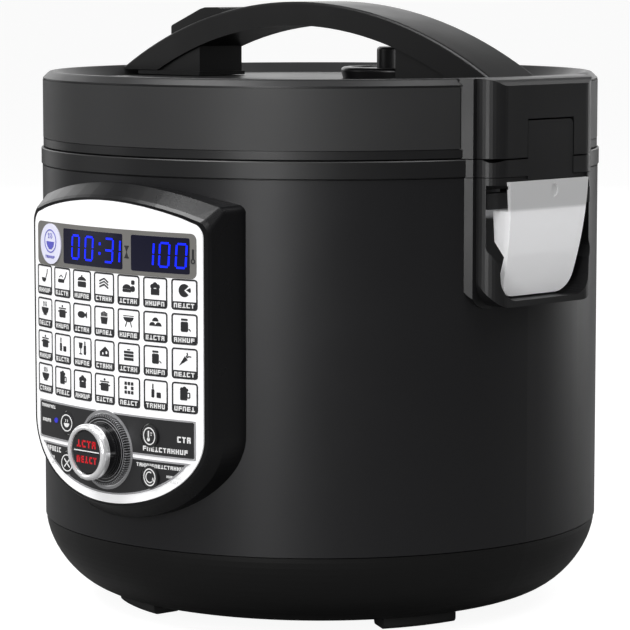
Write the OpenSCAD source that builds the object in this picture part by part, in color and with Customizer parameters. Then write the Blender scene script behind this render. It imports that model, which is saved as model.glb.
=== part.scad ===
// Electric multicooker with a hinged lid, a carrying handle, a control panel and a condensate cup.
// Millimetres. +Z is up, -Y is the control panel's side, +X is the hinge's side.
// The origin is on the ground, on the axis of the round body.

/* [Body] */
// Radius of the round body at the collar
body_r = 135; // [115:1:160]
// Height of the seam between the base and the shell
base_seam_z = 40.4; // [30:0.1:60]
// Height of the seam under the collar
shell_top_z = 211; // [150:0.5:260]
// Height of the collar above that seam
collar_h = 8; // [5:0.5:14]
// Thickness of the painted shell
shell_t = 1.2; // [0.6:0.1:3]
// Height of the bowl's underside above the ground
base_floor_z = 6; // [4:0.5:12]
// Radius of the flat underside
base_floor_r = 104; // [80:1:120]

/* [Feet] */
// Radius on which the feet are centred
foot_ring_r = 93.5; // [70:0.5:110]
// Width of a foot along the radius
foot_w = 15; // [8:0.5:24]
// Sweep of each foot in degrees
foot_sweep = 22; // [8:1:40]
// Radius of the screw hole in each foot
foot_hole_r = 2.2; // [1.5:0.1:3]
// Radius on which the small screw caps between the feet are centred
cap_ring_r = 80; // [70:0.5:110]
// Turn of the four feet about the axis
foot_turn = -17; // [-45:1:45]

/* [Inner pot and heater] */
// Outer radius of the removable pot
pot_r = 111; // [90:1:125]
// Wall of the pot
pot_t = 1.8; // [1:0.1:4]
// Underside of the pot
pot_floor_z = 59.4; // [45:0.1:90]
// Radius of the pot's rounded corner
pot_corner_r = 24; // [5:1:40]
// Radius of the heating plate
plate_r = 86; // [60:1:100]
// Radius of the spring-loaded temperature sensor
sensor_r = 12; // [8:0.5:20]

/* [Lid] */
// Height of the lid's rim
lid_top_z = 255.3; // [235:0.1:280]
// Gap between lid and collar
lid_gap = 0.4; // [0.3:0.1:1.5]
// Radius of the rim's outer edge
rim_r = 130.7; // [120:0.1:134]
// Depth of the sunken top below the rim
dish_depth = 5.7; // [2:0.1:12]
// Lower edge of the wrapped band
band_z0 = 223.8; // [220:0.1:235]
// Upper edge of the wrapped band
band_z1 = 251.4; // [240:0.1:254]

/* [Hinge] */
// Distance of the hinge axis from the body axis
hinge_x = 139.3; // [125:0.1:150]
// Height of the hinge axis
hinge_z = 222.8; // [215:0.1:240]
// Radius of the hinge pin
hinge_pin_r = 1.7; // [1:0.1:4]
// Face of the hinge block and of the bracket under it
block_x = 142.5; // [136:0.1:150]
// Half width of the block
block_hw = 37; // [20:0.5:50]
// Middle of the hinge block and of the bracket
block_y = 3.5; // [-10:0.5:12]
// Radius of the block's corners seen from above
block_corner_r = 10; // [2:0.5:15]
// Middle of the hinge tab
tab_y = 6; // [-10:0.5:12]
// Half width of the hinge tab
tab_hw = 15.6; // [8:0.1:24]
// Top of the hinge tab
tab_z = 236; // [228:0.5:246]

/* [Handle] */
// Half width of the handle
handle_hw = 16; // [10:0.5:24]
// Radius of the handle's outer curve
handle_top_r = 250; // [150:1:400]
// Height of the centre of that curve
handle_top_cz = 38.4; // [-100:0.1:150]
// Radius of the handle's inner curve
handle_low_r = 223.1; // [150:0.1:400]
// Height of the centre of the inner curve
handle_low_cz = 53.9; // [-100:0.1:150]
// Travel of the release button
button_travel = 3; // [1:0.1:5]

/* [Steam valve] */
// Valve position along the hinge direction
valve_x = 24; // [0:1:80]
// Valve position across it
valve_y = 31; // [20:1:60]
// Radius of the valve's seat disc
valve_disc_r = 28.8; // [15:0.1:40]
// Radius of the lift-off cap
valve_cap_r = 11.3; // [6:0.1:18]

/* [Condensate cup] */
// Half width of the cup at its top
cup_hw = 27.2; // [18:0.1:40]
// Underside of the cup
cup_z0 = 156; // [130:1:190]
// Top of the cup's front plate
cup_z1 = 208.8; // [190:0.1:215]
// Face of the cup
cup_x = 144; // [138:0.1:152]
// Depth of the cup
cup_depth = 11; // [8:0.5:24]
// Wall of the cup
cup_t = 1.5; // [0.8:0.1:3]

/* [Control panel] */
// Offset of the panel's middle from the -Y direction
panel_x = 7.5; // [-20:0.5:20]
// Front of the panel at its middle, from the body axis
panel_front = 146; // [138:0.5:160]
// Radius of the panel's bow
panel_bow_r = 217; // [120:1:400]
// Half width of the fascia
fascia_hw = 57.5; // [40:0.1:75]
// Lowest point of the fascia
fascia_z0 = 62; // [50:0.5:90]
// Highest point of the fascia
fascia_z1 = 200; // [180:0.5:208]
// Height of the dial's axis
dial_z = 86.2; // [70:0.1:110]
// Radius of the dial's chrome face
dial_r = 12.9; // [8:0.1:20]
// Radius of the knurled ring round the dial's foot
dial_foot_r = 16.2; // [12:0.1:24]
// How far the dial stands out
dial_out = 12.2; // [6:0.5:24]
// Radius of the round keys
key_r = 5.2; // [3:0.1:9]

/* [Hidden] */
$fn = 128;
eps = 0.01;
collar_z = shell_top_z + collar_h;
lid_z0 = collar_z + lid_gap;
shell_r = body_r - 0.5;
dish_z = lid_top_z - dish_depth;
band_r = body_r - 1;
bow_cy = panel_bow_r - panel_front;
cup_bow_r = 156;
flare_hw = 42.5;
flare_x = 132.6;
pot_rim_z = 212.6;
pot_rim_r = 117;
well_r = 114;
core_r = 10.3;
boss_turn = 35;
latch_x = -118.5;
key_dx = 28.6;
key_zs = [95.3, 76.6];
inlet_z = 68;

function arc(cx, cy, r, a0, a1, n) = [for (i = [0:n]) [cx + r * cos(a0 + (a1 - a0) * i / n),
        cy + r * sin(a0 + (a1 - a0) * i / n)]];
function ell(cx, cy, rx, ry, a0, a1, n) = [for (i = [0:n]) [cx + rx * cos(a0 + (a1 - a0) * i / n),
        cy + ry * sin(a0 + (a1 - a0) * i / n)]];
function bowl(r0, z0, r1, z1, n) = [for (i = [0:n]) [r0 + (r1 - r0) * pow(sin(90 * i / n), 1.2),
        z1 - (z1 - z0) * pow(cos(90 * i / n), 1.2)]];
function bow_y(dx) = -panel_front + dx * dx / (2 * panel_bow_r);

// A ring about the body axis.
module ring(ro, ri, z0, z1)
{
    translate([0, 0, z0])
        difference()
        {
            cylinder(r = ro, h = z1 - z0);
            translate([0, 0, -1])
                cylinder(r = ri, h = z1 - z0 + 2);
        }
}

// A box given by its lowest and highest corners.
module span(a, b)
{
    translate(a)
        cube([b[0] - a[0], b[1] - a[1], b[2] - a[2]]);
}

// A round bar along X, Y or Z starting at p.
module bar_x(p, r, l)
{
    translate(p)
        rotate([0, 90, 0])
            cylinder(r = r, h = l);
}

module bar_y(p, r, l)
{
    translate(p)
        rotate([-90, 0, 0])
            cylinder(r = r, h = l);
}

module bar_z(p, r, l)
{
    translate(p)
        cylinder(r = r, h = l);
}

// A flat outline given as X and Z, made solid from y0 to y1.
module slab_y(y0, y1)
{
    translate([0, y1, 0])
        rotate([90, 0, 0])
            linear_extrude(height = y1 - y0)
                children();
}

// A flat outline given as Y and Z, made solid from x0 to x1.
module slab_x(x0, x1)
{
    translate([x0, 0, 0])
        rotate([90, 0, 90])
            linear_extrude(height = x1 - x0)
                children();
}

// Rounded rectangle between two corners.
module pad(x0, y0, x1, y1, r)
{
    polygon(concat(arc(x1 - r, y1 - r, r, 0, 90, 8), arc(x0 + r, y1 - r, r, 90, 180, 8),
                   arc(x0 + r, y0 + r, r, 180, 270, 8), arc(x1 - r, y0 + r, r, 270, 360, 8)));
}

// The plan of the hinge block: flat face, round corners, and a lower flare on each side.
module block_plan(grow)
{
    translate([0, block_y])
    {
        polygon(concat([[110, -block_hw - grow]],
                       arc(block_x + grow - block_corner_r, -block_hw - grow + block_corner_r,
                               block_corner_r, -90, 0, 10),
                       arc(block_x + grow - block_corner_r, block_hw + grow - block_corner_r,
                               block_corner_r, 0, 90, 10),
                       [[110, block_hw + grow]]));
        polygon([[110, -flare_hw - grow], [127, -flare_hw - grow], [flare_x, -flare_hw + 3.2],
                 [flare_x, flare_hw - 3.2], [127, flare_hw + grow], [110, flare_hw + grow]]);
    }
}

// The solid shape of the bow of the control panel, from the body axis out to the given radius.
module bow(r)
{
    translate([panel_x, bow_cy, 0])
        cylinder(r = r, h = 260);
}

// The outline of the panel, larger by side across and by rise up and down, with corners of the given radius.
module panel_outline(side, rise, corner)
{
    hw = fascia_hw + side;
    top = fascia_z1 + rise;
    cz = top - 8.6 - 0.857 * corner;
    translate([panel_x, 0])
        polygon(concat(ell(0, fascia_z0 + 34, hw, 34 + rise, 180, 360, 56),
                       arc(hw - corner, cz, corner, 0, 62, 12),
                       [for (i = [-18:18]) [-i * hw * 0.044, top - 8 * pow(abs(i) / 21.2, 2)]],
                       arc(-hw + corner, cz, corner, 118, 180, 12)));
}

module fascia_outline(grow)
{
    panel_outline(grow, grow, 7);
}

// The cup's front outline in Y and Z, smaller by inset.
module cup_outline(inset)
{
    b = cup_hw - 3.4 - inset;
    r = 9 - inset;
    polygon(concat([[cup_hw - inset, cup_z1 + inset], [-cup_hw + inset, cup_z1 + inset]],
                   arc(-b + r, cup_z0 + inset + r, r, 180, 270, 8),
                   arc(b - r, cup_z0 + inset + r, r, 270, 360, 8)));
}

// The recess for the cup: wide beside the rail, then close round the cup.
module recess_outline()
{
    translate([block_y, 0])
        polygon(concat([[35.8, 207.4], [-35.8, 207.4], [-35.8, 184]],
                       arc(-29.8, 180, 6, 180, 225, 4),
                       [[-31, 171.5]],
                       arc(-20.2, 165.2, 10.4, 190, 270, 8),
                       arc(20.2, 165.2, 10.4, 270, 350, 8),
                       [[31, 171.5]],
                       arc(29.8, 180, 6, -45, 0, 4),
                       [[35.8, 184]]));
}

module outer_shell()
{
    color([0.11, 0.11, 0.12])
        difference()
        {
            ring(shell_r, shell_r - shell_t, base_seam_z + 0.5, shell_top_z - 0.4);
            slab_y(-200, -60)
                pad(panel_x - 50, 74, panel_x + 50, 188, 10);
            slab_x(100, 200)
                pad(block_y - flare_hw + 3, 155, block_y + flare_hw - 3, 240, 6);
            slab_y(60, 200)
                pad(-17, inlet_z - 13, 17, inlet_z + 13, 4);
        }
}

module base_tray()
{
    color([0.09, 0.09, 0.1])
    {
        difference()
        {
            rotate_extrude()
                polygon(concat([[0, base_floor_z]], bowl(base_floor_r, base_floor_z, body_r - 0.9,
                        base_seam_z, 16),
                               [[body_r - 2.4, base_seam_z], [body_r - 2.4, base_seam_z + 5],
                                       [body_r - 4.6, base_seam_z + 5]],
                               [for (i = [16:-1:0]) [base_floor_r - 3 + (28) * pow(sin(90 * i / 16), 1.2),
                                                     base_seam_z - (base_seam_z - base_floor_z - 2.6) * pow(cos(90 * i / 16), 1.2)]],
                               [[0, base_floor_z + 2.6]]));
            for (i = [-5:5])
                span([i * 12 - 2.5, -44, 0], [i * 12 + 2.5, 44, 12]);
            for (a = [foot_turn + 45:90:foot_turn + 315])
                rotate([0, 0, a])
                    bar_z([cap_ring_r, 0, 0], 2.35, 20);
            for (a = [foot_turn:90:foot_turn + 270])
                rotate([0, 0, a])
                    bar_z([foot_ring_r, 0, 0], foot_hole_r, 20);
        }
        for (a = [0:90:270])
            rotate([0, 0, a + boss_turn])
                difference()
                {
                    bar_z([100, 0, base_floor_z + 2], 5, 34);
                    bar_z([100, 0, base_floor_z + 12], 1.6, 30);
                }
    }
}

module foot_pads()
{
    color([0.1, 0.1, 0.1])
        for (a = [foot_turn:90:foot_turn + 270])
            rotate([0, 0, a])
                difference()
                {
                    rotate([0, 0, -foot_sweep / 2])
                        rotate_extrude(angle = foot_sweep)
                            polygon(concat([[foot_ring_r - foot_w / 2, base_floor_z],
                                    [foot_ring_r + foot_w / 2, base_floor_z]],
                                           arc(foot_ring_r + foot_w / 2 - 2, 2, 2, 0, -90, 5),
                                           arc(foot_ring_r - foot_w / 2 + 2, 2, 2, -90, -180, 5)));
                    bar_z([foot_ring_r, 0, -1], foot_hole_r, 10);
                }
}

module foot_caps()
{
    color([0.05, 0.05, 0.05])
        for (a = [foot_turn + 45:90:foot_turn + 315])
            rotate([0, 0, a])
            {
                bar_z([cap_ring_r, 0, base_floor_z - 2.2], 4.4, 2.2);
                bar_z([cap_ring_r, 0, base_floor_z], 2.3, 10);
            }
}

module collar_ring()
{
    color([0.1, 0.1, 0.11])
        difference()
        {
            union()
            {
                rotate_extrude()
                    polygon([[body_r - 0.4, shell_top_z], [body_r, shell_top_z + 0.4], [body_r,
                            collar_z - 0.4],
                             [body_r - 0.4, collar_z], [124.5, collar_z], [122, 213.8], [119.4, 211.4],
                                     [115.4, 211.4],
                             [115.4, 207.6], [118, 207.6], [127, 209], [131.6, 209], [131.6, 205],
                                     [133, 205],
                             [133, shell_top_z]]);
                intersection()
                {
                    translate([0, 0, shell_top_z])
                        linear_extrude(height = collar_h)
                            block_plan(0);
                    difference()
                    {
                        cylinder(r = 160, h = 300);
                        translate([0, 0, -1])
                            cylinder(r = 130, h = 302);
                    }
                }
            }
            span([131, tab_y - tab_hw - 0.05, 205], [160, tab_y + tab_hw + 0.05, 240]);
            bar_y([hinge_x, -60, hinge_z], 5.2, 120);
            span([-130, -7.5, 204], [-119.3, 7.5, 230]);
        }
}

module rear_bracket()
{
    color([0.1, 0.1, 0.11])
    {
        difference()
        {
            intersection()
            {
                translate([0, 0, 151])
                    linear_extrude(height = shell_top_z - 151 - 0.3)
                        block_plan(0);
                union()
                {
                    slab_x(100, 160)
                        pad(block_y - block_hw, 152, block_y + block_hw, 240, 12);
                    slab_x(100, flare_x)
                        pad(block_y - flare_hw, 151, block_y + flare_hw, 240, 14);
                }
                difference()
                {
                    cylinder(r = 160, h = 300);
                    translate([0, 0, -1])
                        cylinder(r = 118.5, h = 302);
                }
            }
            difference()
            {
                cylinder(r = shell_r + 0.05, h = 300);
                slab_x(100, 200)
                    pad(block_y - flare_hw + 3.05, 155.05, block_y + flare_hw - 3.05, 240, 6);
            }
            ring(133.3, 110, 206.4, 212);
            ring(133.3, 131.3, 204.7, 212);
            slab_x(121.5, 160)
                recess_outline();
            slab_x(110, 124)
                pad(-20, 190, 20, 205, 3);
            slab_x(cup_x - cup_t - 1, 160)
                pad(block_y - cup_hw - 1, 200, block_y + cup_hw + 1, 214, 2);
        }
        difference()
        {
            span([hinge_x - 5.5, tab_y - tab_hw, 207.6], [block_x - 0.2, tab_y + tab_hw, tab_z]);
            span([cup_x - cup_t - 1, tab_y - 50, 200], [160, tab_y + 50, cup_z1 + 0.6]);
            bar_y([hinge_x, -60, hinge_z], hinge_pin_r, 120);
            translate([0, tab_y + tab_hw, tab_z])
                rotate([45, 0, 0])
                    cube([400, 2.4, 2.4], center = true);
        }
        span([133.4, tab_y - tab_hw, 207.6], [block_x - 1.2, tab_y + tab_hw, shell_top_z + 0.05]);
    }
}

module drip_rail()
{
    color([0.08, 0.08, 0.09])
    {
        span([132.4, block_y - 35.4, 196.6], [138.8, block_y + 34.4, 203.8]);
        difference()
        {
            span([124.2, -8, 196.6], [132.6, 8, 205]);
            span([122, -6, 198.4], [131, 6, 206]);
        }
    }
}

module hinge_pin()
{
    color([0.7, 0.7, 0.72])
        bar_y([hinge_x, tab_y - tab_hw - 8, hinge_z], hinge_pin_r, 2 * tab_hw + 16);
}

module inner_well()
{
    color([0.72, 0.72, 0.74])
        difference()
        {
            rotate_extrude()
                polygon([[well_r, 207.4], [well_r, 52], [80, 47], [20, 47], [20, 46.2], [80.2, 46.2],
                         [well_r + 0.8, 51.4], [well_r + 0.8, 206.6], [126, 206.6], [126, 207.4]]);
            span([-130, -7.5, 200], [-117, 7.5, 230]);
        }
}

module heating_plate()
{
    color([0.66, 0.66, 0.68])
        difference()
        {
            union()
            {
                rotate_extrude()
                    polygon([[0, 51], [plate_r - 4, 51], [plate_r, 54], [plate_r, 57.6], [plate_r - 2, 59],
                             [plate_r - 10, pot_floor_z], [0, pot_floor_z]]);
                rotate_extrude()
                    translate([62, 52.1])
                        circle(r = 4.9);
            }
            bar_z([0, 0, 40], sensor_r + 2.5, 40);
        }
}

module heater_stand()
{
    color([0.6, 0.6, 0.62])
        for (a = [0:120:240])
            rotate([0, 0, a])
            {
                bar_z([44, 0, 47], 3, 4);
                bar_z([44, 0, base_floor_z + 2.6], 2, 37.5);
            }
}

module sensor_cap()
{
    color([0.78, 0.78, 0.8])
        rotate_extrude()
            polygon([[0, 47.5], [sensor_r - 1.2, 47.5], [sensor_r - 1.2, 49.3], [sensor_r, 49.3],
                    [sensor_r, 58.2],
                     [sensor_r - 1, 59], [0, 59]]);
}

module sensor_spring()
{
    color([0.6, 0.6, 0.62])
        for (z = [39:2:46])
            translate([0, 0, z])
                rotate_extrude()
                    translate([7, 0])
                        circle(r = 0.9);
}

module inner_pot()
{
    color([0.3, 0.3, 0.31])
        rotate_extrude()
            polygon(concat([[0, pot_floor_z]], arc(pot_r - pot_corner_r, pot_floor_z + pot_corner_r,
                    pot_corner_r, -90, 0, 12),
                           [[pot_r, pot_rim_z - 0.9], [pot_rim_r, pot_rim_z - 0.9], [pot_rim_r,
                                   pot_rim_z], [pot_r - 0.6, pot_rim_z],
                            [pot_r - pot_t, pot_rim_z - 1.4]],
                           arc(pot_r - pot_corner_r, pot_floor_z + pot_corner_r, pot_corner_r - pot_t,
                                   0, -90, 12),
                           [[0, pot_floor_z + pot_t]]));
}

module panel_housing()
{
    color([0.07, 0.07, 0.08])
        difference()
        {
            hull()
            {
                intersection()
                {
                    slab_y(-160, -126)
                        panel_outline(2.2, 1.2, 7);
                    bow(panel_bow_r - 0.3);
                }
                intersection()
                {
                    slab_y(-160, -126)
                        panel_outline(3.1, 2.4, 6.5);
                    bow(panel_bow_r - 1.5);
                }
                intersection()
                {
                    slab_y(-160, -126)
                        panel_outline(3.5, 7.6, 4);
                    bow(panel_bow_r - 8);
                }
                slab_y(-118, -112)
                    panel_outline(3.8, 8, 4);
            }
            cylinder(r = shell_r + 0.05, h = 260);
            difference()
            {
                slab_y(-160, -100)
                    fascia_outline(0.15);
                bow(panel_bow_r - 1.5);
            }
            slab_y(-160, -100)
            {
                pad(panel_x - 48, 76, panel_x + 48, 186, 5);
                key_holes(key_r + 0.4);
                translate([panel_x, dial_z])
                    circle(r = dial_foot_r + 0.4);
            }
        }
}

// A sheet on the panel's bow, from radius r0 to r1, with the given outline.
module bowed(r0, r1)
{
    difference()
    {
        intersection()
        {
            slab_y(-160, -120)
                children();
            bow(r1);
        }
        bow(r0);
    }
}

module strip_outline(grow)
{
    pad(panel_x - 54.4 - grow, 167.4 - grow, panel_x + 54.4 + grow, 187.6 + grow, 3 + grow);
}

module film_outline(grow)
{
    hw = fascia_hw - 4.6 + grow;
    difference()
    {
        union()
        {
            pad(panel_x - hw, 87 - grow, panel_x + hw, 103.2 + grow, 0.8);
            intersection()
            {
                translate([panel_x, 0])
                    polygon(ell(0, 96, hw, 29.2 + grow, 180, 360, 40));
                translate([panel_x - 80, 50])
                    square([160, 33.9 + grow]);
            }
        }
        translate([panel_x, dial_z])
            circle(r = dial_foot_r + 1.6 - grow);
    }
}

module key_holes(r)
{
    for (s = [-1, 1], z = key_zs)
        translate([panel_x + s * key_dx, z])
            circle(r = r);
}

module fascia()
{
    color([0.93, 0.93, 0.93])
        difference()
        {
            bowed(panel_bow_r - 1.4, panel_bow_r)
                fascia_outline(0);
            difference()
            {
                slab_y(-160, -120)
                {
                    strip_outline(0.05);
                    film_outline(0.05);
                }
                bow(panel_bow_r - 0.52);
            }
            slab_y(-160, -120)
            {
                key_holes(key_r + 0.4);
                pad(panel_x - 30.5, 169.4, panel_x + 12.5, 185.6, 1);
                pad(panel_x + 17.8, 169.4, panel_x + 51, 185.6, 1);
            }
            bar_y([panel_x, -160, dial_z], dial_foot_r + 0.4, 40);
            bar_y([panel_x - 38, -160, 95.4], 1.25, 40);
        }
}

module display_strip()
{
    color([0.5, 0.49, 0.47])
        difference()
        {
            bowed(panel_bow_r - 0.5, panel_bow_r + 0.1)
                strip_outline(0);
            slab_y(-160, -120)
            {
                pad(panel_x - 30.5, 169.4, panel_x + 12.5, 185.6, 1);
                pad(panel_x + 17.8, 169.4, panel_x + 51, 185.6, 1);
            }
        }
}

module window_time()
{
    color([0.02, 0.02, 0.03])
        bowed(panel_bow_r - 1.3, panel_bow_r + 0.15)
            pad(panel_x - 30.45, 169.45, panel_x + 12.45, 185.55, 1);
}

module window_temperature()
{
    color([0.02, 0.02, 0.03])
        bowed(panel_bow_r - 1.3, panel_bow_r + 0.15)
            pad(panel_x + 17.85, 169.45, panel_x + 50.95, 185.55, 1);
}

module badge()
{
    color([0.85, 0.85, 0.95])
        bowed(panel_bow_r + 0.1, panel_bow_r + 0.6)
            translate([panel_x - 41.5, 177.5])
                circle(r = 9.4);
}

module control_film()
{
    color([0.16, 0.16, 0.17])
        difference()
        {
            bowed(panel_bow_r - 0.5, panel_bow_r + 0.05)
                film_outline(0);
            slab_y(-160, -120)
            {
                key_holes(key_r + 0.4);
                translate([panel_x - 38, 95.4])
                    circle(r = 1.25);
            }
        }
}

module led_lens()
{
    color([0.2, 0.3, 0.9])
        bar_y([panel_x - 38, bow_y(38) - 0.4, 95.4], 1.2, 0.85);
}

module display_board()
{
    color([0.05, 0.3, 0.12])
        difference()
        {
            span([panel_x - 44, -129.6, 80], [panel_x + 44, -128, 183]);
            for (s = [-1, 1], z = [85, 178])
                bar_y([panel_x + s * 41, -140, z], 1.7, 20);
        }
}

module digit_modules()
{
    color([0.12, 0.12, 0.13])
    {
        span([panel_x - 29.8, -138.4, 170], [panel_x + 11.8, -129.65, 184.5]);
        span([panel_x + 18.5, -137.4, 170], [panel_x + 45.6, -129.65, 184.5]);
    }
}

module dial_core()
{
    color([0.06, 0.06, 0.07])
        difference()
        {
            bar_y([panel_x, -panel_front - dial_out + 4.4, dial_z], core_r, dial_out + 12);
            bar_y([panel_x, -170, dial_z], core_r - 1.6, 170 - panel_front - dial_out + 12);
            bar_y([panel_x, -160, dial_z], 3.4, 40);
        }
}

module dial_foot()
{
    color([0.12, 0.12, 0.13])
        difference()
        {
            bar_y([panel_x, -panel_front - 1.6, dial_z], dial_foot_r, 4.6);
            bar_y([panel_x, -170, dial_z], core_r + 0.4, 60);
        }
}

module dial_skirt()
{
    color([0.05, 0.05, 0.06])
        difference()
        {
            bar_y([panel_x, -panel_front - dial_out + 4.2, dial_z], dial_r - 0.3, dial_out - 5.8);
            bar_y([panel_x, -190, dial_z], core_r + 0.4, 90);
        }
}

module dial_chrome()
{
    color([0.85, 0.85, 0.87])
        translate([panel_x, -panel_front - dial_out + 3, dial_z])
            rotate([90, 0, 0])
                rotate_extrude()
                    polygon(concat([[core_r + 0.4, -1.18], [dial_r - 0.3, -1.18], [dial_r - 0.3, 0.02],
                            [dial_r, 0.02]],
                                   arc(dial_r - 1.7, 1.5, 1.7, 0, 90, 6),
                                   [[core_r + 0.1, 2.9], [core_r - 0.1, 2.3]]));
}

module half_key(up)
{
    z0 = up ? dial_z + 0.2 : dial_z - 20;
    intersection()
    {
        bar_y([panel_x, -panel_front - dial_out + 1, dial_z], core_r - 0.6, 1.8);
        span([panel_x - 20, -200, z0], [panel_x + 20, 0, z0 + 19.8]);
    }
    bar_y([panel_x, -panel_front - dial_out + 2.7, dial_z + (up ? 4.8 : -4.8)], 2, 6);
}

module menu_key()
{
    color([0.03, 0.03, 0.03])
        half_key(true);
}

module start_key()
{
    color([0.03, 0.03, 0.03])
        half_key(false);
}

module round_key(s, z)
{
    color([0.15, 0.15, 0.16])
    {
        bar_y([panel_x + s * key_dx, bow_y(key_dx) - 0.5, z], key_r, 2.6);
        bar_y([panel_x + s * key_dx, bow_y(key_dx) + 2, z], 2, 9);
    }
}

module warm_key()
{
    round_key(-1, key_zs[0]);
}

module cancel_key()
{
    round_key(-1, key_zs[1]);
}

module temperature_key()
{
    round_key(1, key_zs[0]);
}

module delay_key()
{
    round_key(1, key_zs[1]);
}

module power_board()
{
    color([0.4, 0.3, 0.12])
        span([-40, 52, 28], [40, 98, 29.6]);
}

module power_parts()
{
    color([0.15, 0.15, 0.17])
    {
        span([-34, 66, 29.65], [-12, 84, 44]);
        span([14, 64, 29.65], [30, 78, 43]);
        bar_z([0, 88, 29.65], 6, 16);
        bar_z([-24, 90, 29.65], 4, 12);
        for (x = [-36, 36], y = [55, 89])
            bar_z([x, y, base_floor_z + 2.62], 2, 28 - base_floor_z - 2.65);
    }
}

module inlet_socket()
{
    color([0.08, 0.08, 0.08])
        difference()
        {
            union()
            {
                slab_y(118, shell_r + 1.6)
                    pad(-16, inlet_z - 12, 16, inlet_z + 12, 3.4);
                intersection()
                {
                    slab_y(shell_r - 6, shell_r + 2)
                        pad(-21, inlet_z - 16, 21, inlet_z + 16, 4);
                    ring(shell_r + 1.8, shell_r + 0.05, 10, 120);
                }
            }
            slab_y(121, 150)
                pad(-13.2, inlet_z - 9, 13.2, inlet_z + 9, 2.6);
        }
}

module inlet_pins()
{
    color([0.8, 0.75, 0.6])
    {
        for (x = [-7, 7])
            span([x - 2, 121.02, inlet_z - 3.4], [x + 2, 132, inlet_z - 1.4]);
        span([-2, 121.02, inlet_z + 2.4], [2, 132, inlet_z + 4.4]);
    }
}

module case_screws()
{
    color([0.6, 0.6, 0.6])
        for (a = [0:90:270])
            rotate([0, 0, a + boss_turn])
            {
                bar_z([100, 0, base_floor_z + 36.05], 3.4, 2);
                bar_z([100, 0, base_floor_z + 22], 1.55, 14.1);
            }
}

module lid_shell()
{
    color([0.1, 0.1, 0.11])
        difference()
        {
            union()
            {
                rotate_extrude()
                    polygon([[134, lid_z0 + 0.4], [134, band_z0 - 0.3], [132.9, band_z0 - 0.3], [132.9,
                            band_z1 + 0.2],
                             [133.9, band_z1 + 0.2], [133.9, band_z1 + 0.9], [rim_r + 0.7, lid_top_z - 0.6],
                             [rim_r, lid_top_z - 0.15], [rim_r - 0.8, lid_top_z], [rim_r - 2, lid_top_z],
                             [rim_r - 2.6, lid_top_z - 0.3], [122, dish_z], [114, dish_z], [114,
                                     dish_z - 2.2],
                             [121, dish_z - 2.2], [127, lid_top_z - 3], [130, lid_top_z - 4.4], [130.4,
                                     222],
                             [126.5, 222], [126.5, lid_z0], [133.6, lid_z0]]);
                intersection()
                {
                    translate([0, 0, lid_z0])
                        linear_extrude(height = lid_top_z - lid_z0)
                            block_plan(0);
                    slab_y(-60, 60)
                        polygon([[110, 200], [block_x + 1, 200], [block_x + 1, lid_top_z - 4.6],
                                 [block_x - 0.1, lid_top_z - 3.2], [block_x - 1.2, lid_top_z - 1.8],
                                 [block_x - 3, lid_top_z - 0.8], [block_x - 6, lid_top_z - 0.2], [110,
                                         lid_top_z - 0.1]]);
                    difference()
                    {
                        cylinder(r = 170, h = 300);
                        translate([0, 0, -1])
                            cylinder(r = 130.3, h = 302);
                    }
                }
            }
            span([hinge_x - 15.1, tab_y - tab_hw - 0.4, 200], [160, tab_y + tab_hw + 0.4, tab_z + 0.8]);
            bar_y([hinge_x, tab_y - tab_hw - 8.3, hinge_z], hinge_pin_r + 0.05, 2 * tab_hw + 16.6);
            translate([0, tab_y + tab_hw + 0.4, tab_z + 0.8])
                rotate([45, 0, 0])
                    cube([400, 0.1, 0.1], center = true);
        }
}

module lid_band()
{
    color([0.19, 0.19, 0.2])
        difference()
        {
            ring(band_r + 0.1, 132.95, band_z0, band_z1);
            translate([0, 0, 200])
                linear_extrude(height = 60)
                    translate([0, block_y])
                        polygon([[100, -flare_hw - 0.5], [180, -flare_hw - 0.5], [180, flare_hw + 0.5],
                                [100, flare_hw + 0.5]]);
        }
}

module lid_cover()
{
    color([0.12, 0.12, 0.13])
        difference()
        {
            rotate_extrude()
                polygon([[0, dish_z - 2.4], [113.6, dish_z - 2.4], [113.6, dish_z + 0.05], [120,
                        dish_z + 0.05],
                         [120, dish_z + 0.6], [119.4, dish_z + 1], [60, dish_z + 1.4], [0, dish_z + 1.6]]);
            bar_z([valve_x, valve_y, 200], 8.2, 80);
            span([-99, -6.5, 230], [-83, 6.5, 260]);
        }
}

module lid_underside()
{
    color([0.2, 0.2, 0.21])
        difference()
        {
            union()
            {
                rotate_extrude()
                    polygon([[30, 224], [126.2, 222.4], [126.2, 224.6], [121, 226.6], [30, 226.6]]);
                ring(103, 100.6, 216.6, 225);
                for (s = [-1, 1])
                    span([latch_x - 5.5, s > 0 ? 6.2 : -9.4, 225], [latch_x + 5.5, s > 0 ? 9.4 : -6.2,
                            241]);
                bar_z([0, 0, 218.6], 12, 8);
                ring(32, 10, 224, 226.6);
            }
            bar_y([latch_x, -20, 236], 2.05, 40);
            span([-130, -6, 210], [-108, 6, 232]);
            bar_z([valve_x, valve_y, 200], 8.2, 80);
            bar_z([0, 0, 200], 4.2, 40);
            span([123.6, tab_y - tab_hw - 0.9, 200], [140, tab_y + tab_hw + 0.9, 240]);
        }
}

module inner_lid()
{
    color([0.75, 0.75, 0.77])
        difference()
        {
            rotate_extrude()
                polygon([[0, 216.4], [60, 216.2], [98, 214.4], [104.8, 213.2], [104.8, 212.4], [97.8,
                        213.4], [60, 215.2],
                         [0, 215.4]]);
            bar_z([valve_x, valve_y, 200], 7, 80);
            bar_z([0, 0, 200], 4.2, 40);
        }
}

module inner_lid_knob()
{
    color([0.1, 0.1, 0.1])
    {
        bar_z([0, 0, 206.6], 9, 8.7);
        bar_z([0, 0, 214], 4, 12);
    }
}

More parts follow.
